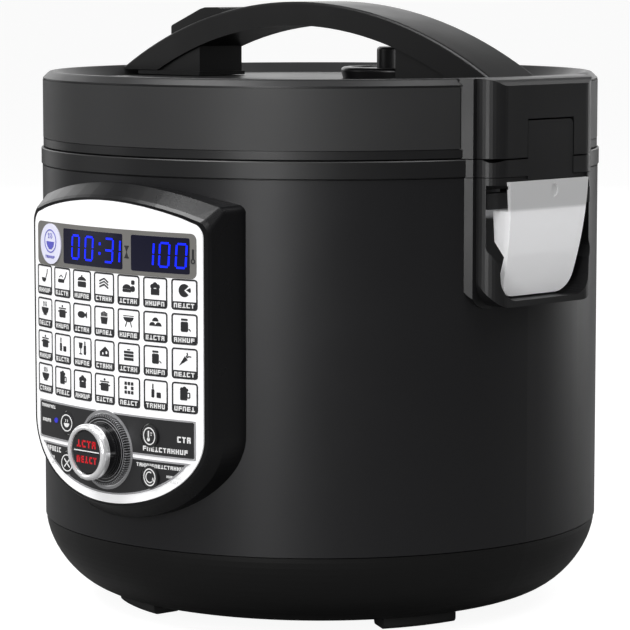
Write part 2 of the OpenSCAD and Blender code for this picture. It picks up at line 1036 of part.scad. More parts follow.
module lid_gasket()
{
    color([0.85, 0.85, 0.83])
        rotate_extrude()
            polygon([[103.2, 214.4], [105, 213.6], [105, 212.2], [103.6, 211.4], [106.4, 211.2],
                    [107.6, 212.9],
                     [114.6, 212.9], [115.2, 214.2], [110, 216.4], [108, 221.8], [103.2, 221.8]]);
}

module steam_tube()
{
    color([0.6, 0.6, 0.6])
        difference()
        {
            bar_z([valve_x, valve_y, 216.7], 8, 33.4);
            bar_z([valve_x, valve_y, 200], 6.4, 80);
        }
}

module valve_seat()
{
    color([0.07, 0.07, 0.08])
        translate([valve_x, valve_y, 0])
            rotate_extrude()
                polygon(concat([[6.4, 251.3], [valve_disc_r - 1, 251.3]],
                               arc(valve_disc_r - 1.8, 255, 1.8, 0, 90, 6),
                               [[valve_disc_r - 4.4, 256.8], [valve_disc_r - 5, 256], [13, 256], [12.2,
                                       255],
                                [12.2, 253], [6.4, 253]]));
}

module valve_cap()
{
    color([0.06, 0.06, 0.07])
        difference()
        {
            translate([valve_x, valve_y, 0])
                rotate_extrude()
                    polygon(concat([[0, 253.4], [valve_cap_r, 253.4]],
                                   arc(valve_cap_r - 1.6, 265, 1.6, 0, 90, 6), [[4, 266.2], [0, 266.2]]));
            bar_z([valve_x, valve_y, 250], valve_cap_r - 2.6, 12);
            bar_z([valve_x, valve_y, 260], 1.4, 10);
        }
}

module arch_space()
{
    translate([-0.5, 0, handle_low_cz])
        rotate([90, 0, 0])
            cylinder(r = handle_low_r, h = 80, center = true);
}

module handle_arch()
{
    color([0.08, 0.08, 0.09])
        difference()
        {
            translate([-0.6, 0, handle_top_cz])
                rotate([90, 0, 0])
                    rotate_extrude()
                        polygon(concat([[222, -handle_hw], [handle_top_r - 1.4, -handle_hw]],
                                       arc(handle_top_r - 1.4, -handle_hw + 1.4, 1.4, -90, 0, 5),
                                       arc(handle_top_r - 1.4, handle_hw - 1.4, 1.4, 0, 90, 5), [[222,
                                               handle_hw]]));
            arch_space();
            span([-400, -40, -400], [400, 40, 253.5]);
            rotate_extrude()
                polygon([[121.6, 240], [121.6, dish_z], [127.9, lid_top_z + 0.1], [140,
                        lid_top_z + 0.1], [140, 240]]);
            slab_y(-12.4, 12.4)
                polygon([[-94.4, 262], [-94.4, 300], [-54.6, 300], [-54.6, 275.2], [-74, 269.4], [-90,
                        262]]);
            span([-97, -5.6, 240], [-85, 5.6, 272]);
        }
}

module handle_feet()
{
    color([0.07, 0.07, 0.08])
        difference()
        {
            union()
            {
                intersection()
                {
                    union()
                    {
                        span([-113, -handle_hw + 1.6, 251.3], [-70.4, handle_hw - 1.6, 270]);
                        span([64, -handle_hw + 1.6, 251.3], [113, handle_hw - 1.6, 270]);
                    }
                    arch_space();
                }
                span([-115, -handle_hw + 0.4, 251.25], [-69.4, handle_hw - 0.4, 253.2]);
                span([63, -handle_hw + 0.4, 251.25], [115, handle_hw - 0.4, 253.2]);
            }
            span([-97, -5.6, 240], [-85, 5.6, 272]);
        }
}

module release_button()
{
    color([0.09, 0.09, 0.1])
    {
        slab_y(-12, 12)
            polygon([[-94, 266.4], [-94, 275.2], [-93.4, 276], [-72.5, 284.3], [-69, 285.1], [-60,
                    285.2], [-58, 284.7],
                     [-55, 282.6], [-55, 278.4], [-76, 273.2], [-91, 266.4]]);
        span([-94, -5, 245.6], [-88, 5, 268]);
    }
}

module latch_hook()
{
    color([0.75, 0.75, 0.72])
        difference()
        {
            union()
            {
                slab_y(-5, 5)
                    polygon([[-122.7, 234], [-122.7, 205.4], [-121.4, 204], [-119.6, 205.8], [-119.6,
                            207.2], [-120.6, 207.6],
                             [-120.6, 226], [-115, 234], [-88, 243.4], [-88, 245.3], [-94, 245.3],
                                     [-118, 240.4]]);
                bar_y([latch_x, -5, 236], 4.6, 10);
            }
            bar_y([latch_x, -20, 236], 2.06, 40);
        }
}

module latch_pin()
{
    color([0.7, 0.7, 0.72])
        bar_y([latch_x, -10, 236], 2, 20);
}

module latch_spring()
{
    color([0.6, 0.6, 0.62])
        for (z = [228.6:1.9:237])
            translate([-94, 0, z])
                rotate_extrude()
                    translate([3.2, 0])
                        circle(r = 0.8);
}

// The side profile of the cup in X and Z, smaller by inset: a deep upper part and a plain lower plate.
module cup_side(inset)
{
    back = cup_x - cup_depth + inset;
    polygon([[cup_x + 4, cup_z0 - 1 + inset * 3], [130, cup_z0 - 1 + inset * 3], [cup_x - 12,
            cup_z0 + inset * 3],
             [cup_x - 8, cup_z0 + 12], [cup_x - 5.6, cup_z0 + 18.6 + inset], [back + 0.6,
                     cup_z0 + 24.6 + inset],
             [back, cup_z0 + 25.4 + inset], [back, cup_z1 + 2 * inset + 0.1], [cup_x + 4,
                     cup_z1 + 2 * inset + 0.1]]);
}

module condensate_cup()
{
    color([0.85, 0.86, 0.87, 0.5])
        translate([0, block_y, 0])
            difference()
            {
                intersection()
                {
                    slab_x(cup_x - 16, cup_x + 4)
                        cup_outline(0);
                    bar_y([cup_x - cup_bow_r, -60, 208], cup_bow_r, 120);
                    slab_y(-60, 60)
                        cup_side(0);
                }
                intersection()
                {
                    slab_x(cup_x - 16, cup_x + 4)
                        cup_outline(cup_t);
                    bar_y([cup_x - cup_bow_r, -60, 208], cup_bow_r - cup_t, 120);
                    slab_y(-60, 60)
                        cup_side(cup_t);
                }
                span([cup_x - cup_depth - 5, -50, 195.4], [cup_x - cup_t - 0.4, 50, 260]);
                span([cup_x - cup_t - 0.5, -cup_hw - 1, 205.4], [cup_x + 4, -cup_hw + 0.9, 207]);
                slab_x(cup_x - 0.8, cup_x + 4)
                    polygon(ell(3.5, 204, 2.5, 3, 0, 360, 24));
            }
}

outer_shell();
base_tray();
foot_pads();
foot_caps();
collar_ring();
rear_bracket();
drip_rail();
hinge_pin();
inner_well();
heating_plate();
heater_stand();
sensor_cap();
sensor_spring();
inner_pot();
panel_housing();
fascia();
display_strip();
window_time();
window_temperature();
badge();
control_film();
led_lens();
display_board();
digit_modules();
dial_core();
dial_foot();
dial_skirt();
dial_chrome();
menu_key();
start_key();
warm_key();
cancel_key();
temperature_key();
delay_key();
power_board();
power_parts();
inlet_socket();
inlet_pins();
case_screws();
lid_shell();
lid_band();
lid_cover();
lid_underside();
inner_lid();
inner_lid_knob();
lid_gasket();
steam_tube();
valve_seat();
valve_cap();
handle_arch();
handle_feet();
release_button();
latch_hook();
latch_pin();
latch_spring();
condensate_cup();
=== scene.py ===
# %% [markdown]
# # Dressing a round multicooker
# The shapes of this cooker were drawn as exact solids first. Here we load those solids as a fixed frame
# and give them their looks: paint, moulded plastic, chrome, frosted plastic, printed signs and a lit
# clock. Nothing below moves a solid. New pieces are added on top, and each one is told which body it
# moves with.

# %% load the frame
import math

import bmesh
import bpy
from mathutils import Matrix, Vector, geometry


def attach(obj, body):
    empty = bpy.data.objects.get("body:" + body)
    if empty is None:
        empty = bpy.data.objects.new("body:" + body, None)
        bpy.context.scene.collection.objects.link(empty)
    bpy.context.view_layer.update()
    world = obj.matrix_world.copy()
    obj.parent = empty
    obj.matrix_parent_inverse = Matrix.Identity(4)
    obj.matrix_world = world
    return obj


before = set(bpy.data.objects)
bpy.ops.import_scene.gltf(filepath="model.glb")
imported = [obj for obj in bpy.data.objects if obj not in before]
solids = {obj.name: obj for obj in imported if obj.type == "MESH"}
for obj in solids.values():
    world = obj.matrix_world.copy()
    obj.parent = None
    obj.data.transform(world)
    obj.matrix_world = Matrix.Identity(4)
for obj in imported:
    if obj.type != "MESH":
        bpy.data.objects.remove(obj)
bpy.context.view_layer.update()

# %% [markdown]
# ## Where we stand
# The camera looks from the corner between the control panel (-Y) and the hinge (+X), 45 degrees from
# each, a little above the lid and tilted down by 6.4 degrees. It stands well back and has a long lens,
# so the round body hardly narrows toward its foot. A Matrix built from three directions places it
# exactly, which is easier to read than three rotation angles.

# %% camera
stand_off = 1.485
eye_height = 0.3026
turn = math.radians(45)
tilt = 0.1119
aim_left = 0.001685

ahead = Vector((-math.sin(turn + aim_left), math.cos(turn + aim_left), 0))
look = (ahead * math.cos(tilt) - Vector((0, 0, 1)) * math.sin(tilt)).normalized()
right = look.cross(Vector((0, 0, 1))).normalized()
up = right.cross(look)
lens = bpy.data.cameras.new("long lens")
lens.sensor_width = 36
lens.lens = 174.52
camera = bpy.data.objects.new("camera", lens)
camera.matrix_world = Matrix((
    (right.x, up.x, -look.x, stand_off * math.sin(turn)),
    (right.y, up.y, -look.y, -stand_off * math.cos(turn)),
    (right.z, up.z, -look.z, eye_height),
    (0, 0, 0, 1)))
bpy.context.scene.collection.objects.link(camera)
bpy.context.scene.camera = camera
print("camera looks along", [round(v, 3) for v in look])

# %% [markdown]
# ## A pale studio
# Dark satin surfaces show little colour of their own: what we see on them is the reflection of the
# lights. So the room is dim, and each soft box is placed for one reflection. A normal turned by some
# angle away from the camera mirrors a light at twice that angle, which gives the place of each box: one
# near the camera's left for the long soft band on the body, one far right and behind for the bright
# edge, a low wall of light behind that the lid's flat top mirrors, and a small box for the panel. The
# floor looks white to the camera but sends little light back, or the rounded base would glow from
# below.

# %% floor, lights and surroundings
def soft_box(name, degrees, distance, height, aim, width, tall, power):
    """A rectangular light, placed by its angle to the right of the camera as seen from the cooker."""
    data = bpy.data.lights.new(name, "AREA")
    data.shape = "RECTANGLE"
    data.size = width
    data.size_y = tall
    data.energy = power
    lamp = bpy.data.objects.new(name, data)
    angle = math.radians(degrees) - turn
    place = Vector((distance * math.cos(angle), distance * math.sin(angle), height))
    lamp.location = place
    lamp.rotation_euler = (Vector((0, 0, aim)) - place).to_track_quat("-Z", "Y").to_euler()
    bpy.context.scene.collection.objects.link(lamp)
    return lamp


floor_mesh = bpy.data.meshes.new("floor")
floor_mesh.from_pydata([(-30, -30, 0), (30, -30, 0), (30, 30, 0), (-30, 30, 0)], [], [(0, 1, 2, 3)])
floor = bpy.data.objects.new("floor", floor_mesh)
bpy.context.scene.collection.objects.link(floor)

pale = bpy.data.materials.new("pale floor")
pale.use_nodes = True
shader = pale.node_tree.nodes["Principled BSDF"]
shader.inputs["Base Color"].default_value = (0.16, 0.16, 0.16, 1)
shader.inputs["Roughness"].default_value = 0.95
shader.inputs["Emission Color"].default_value = (1, 1, 1, 1)
path = pale.node_tree.nodes.new("ShaderNodeLightPath")
seen = pale.node_tree.nodes.new("ShaderNodeMath")
seen.operation = "MULTIPLY"
seen.inputs[1].default_value = 0.92
pale.node_tree.links.new(path.outputs["Is Camera Ray"], seen.inputs[0])
pale.node_tree.links.new(seen.outputs[0], shader.inputs["Emission Strength"])
floor_mesh.materials.append(pale)

soft_box("band light", -22, 2.3, 0.75, 0.15, 0.5, 1.7, 32)
soft_box("edge light", 128, 1.9, 0.7, 0.15, 0.8, 1.6, 12.5)
soft_box("left edge light", -140, 1.9, 0.7, 0.15, 0.5, 1.4, 2.5)
soft_box("back wall", 180, 2.6, 0.95, 0.2, 3.2, 1.1, 15)
soft_box("overhead", 62, 1.0, 1.8, 0.2, 1.1, 1.1, 20)
soft_box("panel light", -66, 1.1, 1.9, 0.15, 1.2, 1.0, 45)
soft_box("glint light", -94, 1.7, 0.5, 0.1, 0.5, 0.9, 1.6)

sky = bpy.data.worlds.new("studio air")
sky.use_nodes = True
sky.node_tree.nodes["Background"].inputs["Color"].default_value = (1, 1, 1, 1)
sky.node_tree.nodes["Background"].inputs["Strength"].default_value = 0.16
bpy.context.scene.world = sky
bpy.context.scene.view_settings.view_transform = "Standard"

# %% [markdown]
# ## How a finish is made
# Every finish starts from the Principled shader. Real surfaces are never even, so three things are
# added: a fine grain that tips the light (Bump), a slow drift of roughness, and a slight drift of
# colour. All three read Object coordinates, which are metres in the cooker's own frame, so a grain of
# 0.3 mm stays 0.3 mm on every piece.

# %% a helper for finishes
def finish(name, colour, roughness, grain_mm=0.35, depth_mm=0.01, metallic=0.0, drift=0.05, tint=0.08,
           stretch=(1, 1, 1), coat=0.0, coat_rough=0.1, specular=0.5, strength=0.35):
    material = bpy.data.materials.new(name)
    material.use_nodes = True
    tree = material.node_tree
    shader = tree.nodes["Principled BSDF"]
    shader.inputs["Metallic"].default_value = metallic
    shader.inputs["Coat Weight"].default_value = coat
    shader.inputs["Coat Roughness"].default_value = coat_rough
    shader.inputs["Specular IOR Level"].default_value = specular
    where = tree.nodes.new("ShaderNodeTexCoord")
    scale = tree.nodes.new("ShaderNodeMapping")
    scale.inputs["Scale"].default_value = stretch
    tree.links.new(where.outputs["Object"], scale.inputs["Vector"])
    grain = tree.nodes.new("ShaderNodeTexNoise")
    grain.inputs["Scale"].default_value = 1000 / grain_mm
    grain.inputs["Detail"].default_value = 2
    tree.links.new(scale.outputs["Vector"], grain.inputs["Vector"])
    bump = tree.nodes.new("ShaderNodeBump")
    bump.inputs["Strength"].default_value = strength
    bump.inputs["Distance"].default_value = depth_mm / 1000
    tree.links.new(grain.outputs["Fac"], bump.inputs["Height"])
    tree.links.new(bump.outputs["Normal"], shader.inputs["Normal"])
    cloud = tree.nodes.new("ShaderNodeTexNoise")
    cloud.inputs["Scale"].default_value = 22
    cloud.inputs["Detail"].default_value = 4
    tree.links.new(where.outputs["Object"], cloud.inputs["Vector"])
    rough = tree.nodes.new("ShaderNodeMapRange")
    rough.inputs["From Min"].default_value = 0.3
    rough.inputs["From Max"].default_value = 0.7
    rough.inputs["To Min"].default_value = max(0.02, roughness - drift)
    rough.inputs["To Max"].default_value = min(1.0, roughness + drift)
    tree.links.new(cloud.outputs["Fac"], rough.inputs["Value"])
    tree.links.new(rough.outputs["Result"], shader.inputs["Roughness"])
    paint = tree.nodes.new("ShaderNodeMix")
    paint.data_type = "RGBA"
    paint.inputs["A"].default_value = (*[c * (1 - tint) for c in colour], 1)
    paint.inputs["B"].default_value = (*[min(1, c * (1 + tint)) for c in colour], 1)
    tree.links.new(grain.outputs["Fac"], paint.inputs["Factor"])
    tree.links.new(paint.outputs["Result"], shader.inputs["Base Color"])
    return material


def set_shader(material, **values):
    shader = material.node_tree.nodes["Principled BSDF"]
    for key, value in values.items():
        shader.inputs[key.replace("_", " ")].default_value = value


def wear(material, *names):
    for name in names:
        mesh = solids[name].data
        mesh.materials.clear()
        mesh.materials.append(material)
    print(material.name, "->", ", ".join(names))


print("a finish mixes grain, drift and tint; wear() puts it on solids")

# %% [markdown]
# ## Finishes of the outside
# The round shell is sheet steel with a graphite satin paint: a little metallic, with a very fine orange
# peel. The lid is black moulded plastic with a fine spark-eroded grain, the base and the handle are
# darker, and the strip wrapped round the lid is a shade lighter. The panel housing is smoother, so it
# shows soft highlights on its edges. The two windows are smoked plastic with a faint painted blue glow,
# standing in for the light of the figures behind them.

# %% paint and black plastics
graphite = finish("graphite paint", (0.010, 0.010, 0.011), 0.38, grain_mm=0.5, depth_mm=0.006,
                  metallic=0.25, drift=0.03, tint=0.25, specular=0.45)
satin_black = finish("satin black moulding", (0.006, 0.006, 0.0065), 0.4, grain_mm=0.3, depth_mm=0.012,
                     drift=0.05, specular=0.45)
band_black = finish("lid band moulding", (0.017, 0.017, 0.0175), 0.52, grain_mm=0.3, depth_mm=0.01,
                    drift=0.04)
smooth_black = finish("smooth black housing", (0.004, 0.004, 0.0045), 0.3, grain_mm=0.6, depth_mm=0.003,
                      drift=0.04, specular=0.3)
gloss_black = finish("gloss black", (0.006, 0.006, 0.007), 0.12, grain_mm=1.0, depth_mm=0.001,
                     drift=0.03, coat=0.4)
base_black = finish("base moulding", (0.003, 0.003, 0.003), 0.42, grain_mm=0.3, depth_mm=0.012,
                    drift=0.05, specular=0.3)
wear(graphite, "outer_shell")
wear(base_black, "base_tray")
wear(satin_black, "lid_shell", "collar_ring", "rear_bracket", "drip_rail", "lid_cover", "inlet_socket")
handle_black = finish("handle moulding", (0.003, 0.003, 0.0032), 0.36, grain_mm=0.3, depth_mm=0.01,
                      drift=0.05, specular=0.28)
wear(handle_black, "handle_arch", "handle_feet", "release_button")
wear(band_black, "lid_band")
wear(smooth_black, "panel_housing", "valve_seat", "valve_cap", "dial_core")
wear(gloss_black, "dial_skirt", "dial_foot", "menu_key", "start_key")
smoked = finish("smoked window", (0.005, 0.005, 0.009), 0.14, grain_mm=1.0, depth_mm=0.001, drift=0.03,
                coat=0.3)
# Painted glow: a faint blue emission on the smoked windows stands in for the figures' light.
set_shader(smoked, Emission_Color=(0.0, 0.01, 1.0, 1), Emission_Strength=0.01)
wear(smoked, "window_time", "window_temperature")

# %% [markdown]
# ## The face of the panel
# The fascia is pale silver plastic. A weak white emission on it is a painted glow that makes it brighter
# than the lamps alone light it. On it lie a grey strip behind the two smoked windows and a dark printed
# film round the dial.
# They are thin sheets pressed into the bowed face, with a satin clear layer on top.

# %% fascia and films
silver_with_painted_glow = finish("pale silver fascia", (0.84, 0.84, 0.85), 0.38, grain_mm=0.25, depth_mm=0.003,
                metallic=0.15, drift=0.03, tint=0.02)
grey_print = finish("grey printed strip", (0.15, 0.146, 0.138), 0.4, grain_mm=0.4, depth_mm=0.003,
                    drift=0.03, tint=0.04)
dark_film = finish("dark printed film", (0.016, 0.016, 0.017), 0.36, grain_mm=0.4, depth_mm=0.003,
                   drift=0.03)
badge_white = finish("pale badge", (0.72, 0.72, 0.86), 0.3, grain_mm=0.5, depth_mm=0.002, drift=0.02,
                     tint=0.03)
# Painted glow: a white emission lifts the silver fascia above what the lamps give it.
set_shader(silver_with_painted_glow, Emission_Color=(1, 1, 1, 1), Emission_Strength=0.22)
wear(silver_with_painted_glow, "fascia")
wear(grey_print, "display_strip")
wear(dark_film, "control_film", "warm_key", "cancel_key", "temperature_key", "delay_key")
wear(badge_white, "badge")

# %% [markdown]
# ## Metals
# Chrome is nearly a mirror, so it needs only a breath of unevenness. The pot's liner, the heating plate
# and the inner lid are spun aluminium: their grain runs round the axis, and here a strongly stretched
# noise stands in for those turned lines.

# %% chrome, aluminium and steel
chrome = finish("chrome", (0.9, 0.9, 0.91), 0.14, grain_mm=6, depth_mm=0.0005, metallic=0.55, drift=0.02,
                tint=0.01, strength=0.04)
spun = finish("spun aluminium", (0.72, 0.72, 0.73), 0.3, grain_mm=0.5, depth_mm=0.004, metallic=1.0,
              drift=0.06, tint=0.06, stretch=(0.05, 0.05, 1))
bright_steel = finish("bright steel", (0.56, 0.56, 0.57), 0.22, grain_mm=0.4, depth_mm=0.004,
                      metallic=1.0, drift=0.06)
brass = finish("plated brass", (0.75, 0.6, 0.3), 0.25, grain_mm=0.5, depth_mm=0.003, metallic=1.0)
coating = finish("non-stick coating", (0.035, 0.035, 0.037), 0.36, grain_mm=0.35, depth_mm=0.01,
                 metallic=0.3, drift=0.05, tint=0.35)
wear(chrome, "dial_chrome")
wear(spun, "inner_well", "heating_plate", "inner_lid", "sensor_cap")
wear(bright_steel, "hinge_pin", "latch_pin", "latch_hook", "latch_spring", "sensor_spring", "steam_tube",
     "heater_stand", "case_screws")
wear(brass, "inlet_pins")
wear(coating, "inner_pot")

# %% [markdown]
# ## Rubber, silicone and the insides
# Feet are dull rubber, the lid's seal is milky silicone, and the circuit boards are green laminate.
# They are mostly hidden, but the open lid and the view from below show some of them.

# %% soft parts and boards
rubber = finish("foot rubber", (0.02, 0.02, 0.02), 0.75, grain_mm=0.4, depth_mm=0.02, drift=0.08)
silicone = finish("milky silicone", (0.62, 0.62, 0.6), 0.5, grain_mm=0.6, depth_mm=0.006, drift=0.06,
                  tint=0.04)
laminate = finish("green laminate", (0.02, 0.12, 0.045), 0.4, grain_mm=0.8, depth_mm=0.004, drift=0.05,
                  tint=0.2)
inner_plastic = finish("inner grey moulding", (0.05, 0.05, 0.053), 0.5, grain_mm=0.3, depth_mm=0.012,
                       drift=0.06)
wear(rubber, "foot_pads", "foot_caps")
wear(silicone, "lid_gasket")
wear(laminate, "display_board", "power_board")
wear(inner_plastic, "lid_underside", "inner_lid_knob", "power_parts", "digit_modules")

# %% [markdown]
# ## The frosted cup
# The condensate cup is milky see-through plastic: some light passes, most scatters. Transmission with a
# high roughness gives that, helped by a weak white emission, a painted glow for light scattered inside.
# The dark rail behind the front plate shows through as a band above 196 mm; here that band is painted
# shade, a darker colour mixed in by the height of the point.

# %% frosted plastic and the small light
frosted = finish("frosted plastic", (0.93, 0.93, 0.94), 0.45, grain_mm=0.3, depth_mm=0.006, drift=0.05,
                 tint=0.02)
# Painted glow: the weak white emission stands in for light scattered inside the frosted plastic.
set_shader(frosted, Transmission_Weight=0.32, IOR=1.45, Emission_Color=(1, 1, 1, 1),
           Emission_Strength=0.11)
tree = frosted.node_tree
plain_tint = tree.nodes["Principled BSDF"].inputs["Base Color"].links[0].from_socket
place_now = tree.nodes.new("ShaderNodeTexCoord")
axes = tree.nodes.new("ShaderNodeSeparateXYZ")
tree.links.new(place_now.outputs["Object"], axes.inputs["Vector"])
# Painted shade: above about 196 mm the cup's colour is mixed toward grey, for the dark rail seen through
# it.
rail_shadow = tree.nodes.new("ShaderNodeMapRange")
rail_shadow.inputs["From Min"].default_value = 0.1948
rail_shadow.inputs["From Max"].default_value = 0.1966
tree.links.new(axes.outputs["Z"], rail_shadow.inputs["Value"])
shaded = tree.nodes.new("ShaderNodeMix")
shaded.data_type = "RGBA"
shaded.inputs["B"].default_value = (0.5, 0.5, 0.505, 1)
tree.links.new(rail_shadow.outputs["Result"], shaded.inputs["Factor"])
tree.links.new(plain_tint, shaded.inputs["A"])
tree.links.new(shaded.outputs["Result"], tree.nodes["Principled BSDF"].inputs["Base Color"])
wear(frosted, "condensate_cup")


def glow(name, colour, strength):
    material = finish(name, colour, 0.4, grain_mm=0.5, depth_mm=0.002)
    set_shader(material, Emission_Color=(*colour, 1), Emission_Strength=strength)
    return material


blue_light = glow("blue light", (0.03, 0.03, 0.45), 0.3)
wear(blue_light, "led_lens")

# %% [markdown]
# ## Printing on the bowed face
# A print is modelled as a very thin closed sheet, 0.15 mm proud of the face. Each sign is first drawn
# flat, as outlines in millimetres: x to the right of the panel's middle and z up from the ground. The
# flat sheet is cut into strips no wider than 3 mm and then bent onto the panel's bow, so it follows the
# curve everywhere.

# %% shapes, sheets and the bow
bow_radius = 217.0
bow_middle = (7.5, 71.0)


def disc(x, z, r, n=28, flat=1.0):
    return [[(x + r * math.cos(2 * math.pi * i / n), z + flat * r * math.sin(2 * math.pi * i / n))
             for i in range(n)]]


def hoop(x, z, r, width, n=36):
    return [disc(x, z, r, n)[0], disc(x, z, r - width, n)[0]]


def block(x0, z0, x1, z1):
    return [[(x0, z0), (x1, z0), (x1, z1), (x0, z1)]]


def tile(x0, z0, x1, z1, r, n=5):
    corners = ((x1 - r, z1 - r, 0), (x0 + r, z1 - r, 90), (x0 + r, z0 + r, 180), (x1 - r, z0 + r, 270))
    return [[(cx + r * math.cos(math.radians(a + 90 * i / n)), cz
              + r * math.sin(math.radians(a + 90 * i / n))) for cx, cz, a in corners
              for i in range(n + 1)]]


def frame_of(x0, z0, x1, z1, r, width):
    return tile(x0, z0, x1, z1, r) + tile(x0 + width, z0 + width, x1 - width, z1 - width,
                                          max(0.2, r - width))


def stroke(points, width):
    left, right_side = [], []
    for i, (x, z) in enumerate(points):
        a = points[max(0, i - 1)]
        b = points[min(len(points) - 1, i + 1)]
        d = math.hypot(b[0] - a[0], b[1] - a[1])
        nx, nz = -(b[1] - a[1]) / d * width / 2, (b[0] - a[0]) / d * width / 2
        left.append((x + nx, z + nz))
        right_side.append((x - nx, z - nz))
    return [right_side + left[::-1]]


def sector(x, z, r, a0, a1, n=14, flat=1.0):
    rim = [(x + r * math.cos(math.radians(a0 + (a1 - a0) * i / n)), z
            + flat * r * math.sin(math.radians(a0 + (a1 - a0) * i / n))) for i in range(n + 1)]
    return [rim] if abs(a1 - a0) == 180 else [[(x, z)] + rim]


def moved(shapes, dx, dz, size=1.0):
    return [[[(x * size + dx, z * size + dz) for x, z in loop] for loop in shape] for shape in shapes]


def on_bow(x, z, out):
    return Vector((bow_middle[0] + x, bow_middle[1] - math.sqrt((bow_radius + out) ** 2 - x * x),
                   z)) / 1000


def thin_sheet(name, shapes, out, depth, material, place, strip=3.0):
    """Turns flat outlines (first loop the edge, further loops holes) into one closed thin sheet."""
    flat = bmesh.new()
    for shape in shapes:
        loops = [[Vector((x, z, 0)) for x, z in loop] for loop in shape]
        corners = [flat.verts.new(p) for loop in loops for p in loop]
        for tri in geometry.tessellate_polygon(loops):
            flat.faces.new([corners[i] for i in tri])
    if strip:
        low = min(v.co.x for v in flat.verts)
        high = max(v.co.x for v in flat.verts)
        for k in range(math.floor(low / strip) + 1, math.ceil(high / strip)):
            bmesh.ops.bisect_plane(flat, geom=flat.verts[:] + flat.edges[:] + flat.faces[:],
                                   plane_co=(k * strip, 0, 0), plane_no=(1, 0, 0))
    for face in flat.faces:
        if face.normal.z < 0:
            face.normal_flip()
    flat.verts.index_update()
    solid = bmesh.new()
    front = [solid.verts.new(place(v.co.x, v.co.y, out)) for v in flat.verts]
    back = [solid.verts.new(place(v.co.x, v.co.y, out - depth)) for v in flat.verts]
    for face in flat.faces:
        ring = [v.index for v in face.verts]
        solid.faces.new([front[i] for i in ring])
        solid.faces.new([back[i] for i in reversed(ring)])
    for edge in flat.edges:
        if len(edge.link_faces) == 1:
            loop = edge.link_loops[0]
            a, b = loop.vert.index, loop.link_loop_next.vert.index
            solid.faces.new([front[b], front[a], back[a], back[b]])
    bmesh.ops.triangulate(solid, faces=solid.faces[:])
    mesh = bpy.data.meshes.new(name)
    solid.to_mesh(mesh)
    flat.free()
    solid.free()
    mesh.materials.append(material)
    piece = bpy.data.objects.new(name, mesh)
    bpy.context.scene.collection.objects.link(piece)
    return piece


def print_on(name, shapes, out, material, body="base", place=on_bow, depth=0.3,
             strip=3.0):
    piece = thin_sheet(name, shapes, out, depth, material, place, strip)
    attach(piece, body)
    print(name, len(piece.data.polygons), "triangles on", body)
    return piece


dark_ink = finish("dark ink", (0.016, 0.016, 0.018), 0.42, grain_mm=0.5, depth_mm=0.002, drift=0.04)
white_ink = finish("white ink", (0.78, 0.78, 0.78), 0.45, grain_mm=0.5, depth_mm=0.002, drift=0.04,
                   tint=0.03)
grey_ink = finish("grey ink", (0.30, 0.30, 0.31), 0.4, grain_mm=0.5, depth_mm=0.002, drift=0.04,
                  tint=0.05)
blue_ink = finish("blue ink", (0.10, 0.10, 0.48), 0.4, grain_mm=0.5, depth_mm=0.002, drift=0.04)

print("inks ready; the bow has radius", bow_radius, "mm")

# %% [markdown]
# ## Twenty-eight programme fields
# The fields are all the same: a dark rounded outline with a label bar along its foot. So one field is
# drawn and a Geometry Nodes modifier repeats it on a grid of 7 by 4 and bends the grid onto the bow.
# The numbers of columns and rows, the two spacings and the bow's radius are inputs of the modifier.

# %% one field, repeated by Geometry Nodes
field_columns, field_rows = 7, 4
field_pitch, field_rise = 16.0, 15.4
field_low = 114.1
field_shapes = [frame_of(-6.9, -6.9, 6.9, 7.0, 1.5, 0.75), tile(-6.5, -6.5, 6.5, -3.1, 0.9)]


def upright(x, z, out):
    return Vector((x, -out, z)) / 1000


def add(tree, kind, **values):
    node = tree.nodes.new(kind)
    for key, value in values.items():
        setattr(node, key, value)
    return node


grid_tree = bpy.data.node_groups.new("fields on a bow", "GeometryNodeTree")
for label, kind in (("Field", "NodeSocketGeometry"), ("Columns", "NodeSocketInt"),
                    ("Rows", "NodeSocketInt"), ("Width", "NodeSocketFloat"),
                    ("Height", "NodeSocketFloat"), ("Bow radius", "NodeSocketFloat"),
                    ("Ink", "NodeSocketMaterial")):
    grid_tree.interface.new_socket(label, in_out="INPUT", socket_type=kind)
grid_tree.interface.new_socket("Fields", in_out="OUTPUT", socket_type="NodeSocketGeometry")
inlet = add(grid_tree, "NodeGroupInput")
outlet = add(grid_tree, "NodeGroupOutput")
points = add(grid_tree, "GeometryNodeMeshGrid")
stand_up = add(grid_tree, "GeometryNodeTransform")
stand_up.inputs["Rotation"].default_value = (math.radians(90), 0, 0)
copies = add(grid_tree, "GeometryNodeInstanceOnPoints")
real = add(grid_tree, "GeometryNodeRealizeInstances")
where = add(grid_tree, "GeometryNodeInputPosition")
parts = add(grid_tree, "ShaderNodeSeparateXYZ")
x_square = add(grid_tree, "ShaderNodeMath", operation="MULTIPLY")
r_square = add(grid_tree, "ShaderNodeMath", operation="MULTIPLY")
rest = add(grid_tree, "ShaderNodeMath", operation="SUBTRACT")
root = add(grid_tree, "ShaderNodeMath", operation="SQRT")
sag = add(grid_tree, "ShaderNodeMath", operation="SUBTRACT")
offset = add(grid_tree, "ShaderNodeCombineXYZ")
bend = add(grid_tree, "GeometryNodeSetPosition")
ink = add(grid_tree, "GeometryNodeSetMaterial")
join = grid_tree.links.new
join(inlet.outputs["Columns"], points.inputs["Vertices X"])
join(inlet.outputs["Rows"], points.inputs["Vertices Y"])
join(inlet.outputs["Width"], points.inputs["Size X"])
join(inlet.outputs["Height"], points.inputs["Size Y"])
join(points.outputs["Mesh"], stand_up.inputs["Geometry"])
join(stand_up.outputs["Geometry"], copies.inputs["Points"])
join(inlet.outputs["Field"], copies.inputs["Instance"])
join(copies.outputs["Instances"], real.inputs["Geometry"])
join(where.outputs["Position"], parts.inputs["Vector"])
join(parts.outputs["X"], x_square.inputs[0])
join(parts.outputs["X"], x_square.inputs[1])
